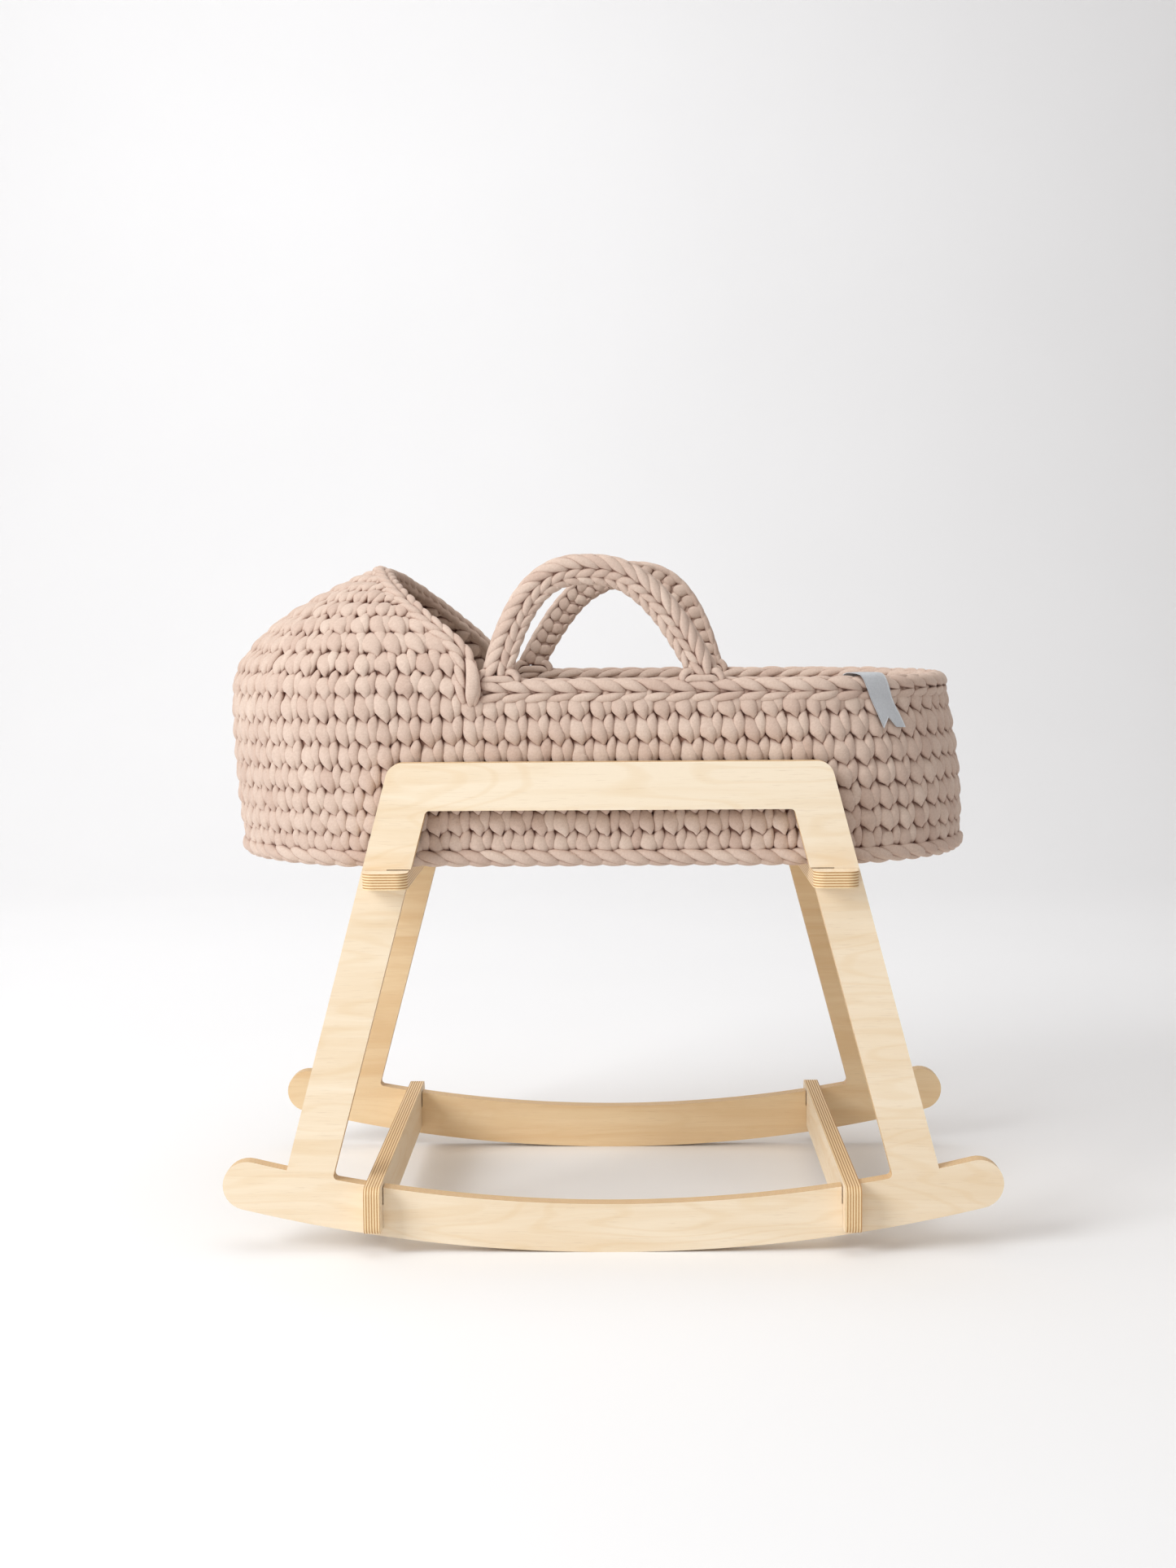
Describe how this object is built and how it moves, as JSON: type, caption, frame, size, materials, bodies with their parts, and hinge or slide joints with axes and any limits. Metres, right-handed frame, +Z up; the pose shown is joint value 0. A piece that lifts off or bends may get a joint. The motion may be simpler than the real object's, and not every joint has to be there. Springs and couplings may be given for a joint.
{
  "type": "bassinet on stand",
  "caption": "Crocheted Moses basket with a hood and carry handles, resting in a slotted plywood stand on rockers.",
  "frame": {"origin": "on the floor, under the middle of the whole object's box", "axes": "+X from the hood end to the foot end, +Z up, +Y towards the back side frame"},
  "size_m": [0.8586, 0.502, 0.7482],
  "materials": {
    "birch_plywood": "satin clear-coated birch plywood",
    "base_plywood": "raw birch plywood",
    "pink_yarn": "matte cotton T-shirt yarn, crocheted",
    "grey_tag": "woven ribbon",
    "cotton_cover": "woven cotton",
    "foam": "open-cell foam"
  },
  "bodies": {
    "stand": {"side_frame_front": "birch_plywood", "side_frame_back": "birch_plywood", "upper_cross_plate_left": "birch_plywood", "upper_cross_plate_right": "birch_plywood", "lower_stretcher_left": "birch_plywood", "lower_stretcher_right": "birch_plywood"},
    "basket": {"base_board": "base_plywood", "bottom_lacing": "pink_yarn", "basket_wall": "pink_yarn", "rim_braid": "pink_yarn", "hood": "pink_yarn", "hood_edging": "pink_yarn", "handle_front_lashings": "pink_yarn", "handle_back_lashings": "pink_yarn", "rim_tag": "grey_tag", "mattress_foam": "foam", "mattress_cover": "cotton_cover"},
    "handle_front": {"handle_front": "pink_yarn"},
    "handle_back": {"handle_back": "pink_yarn"}
  },
  "joints": [
    {"name": "basket_lift", "type": "slide", "parent": "stand", "child": "basket", "axis": [0, 0, 1], "range_m": [0, 0.2]},
    {"name": "handle_front_fold", "type": "hinge", "parent": "basket", "child": "handle_front", "pos_m": [-0.00185, -0.183, 0.6265], "axis": [1, 0, 0], "range_deg": [-90, 100]},
    {"name": "handle_back_fold", "type": "hinge", "parent": "basket", "child": "handle_back", "pos_m": [0.02015, 0.183, 0.6265], "axis": [-1, 0, 0], "range_deg": [-90, 100]}
  ]
}
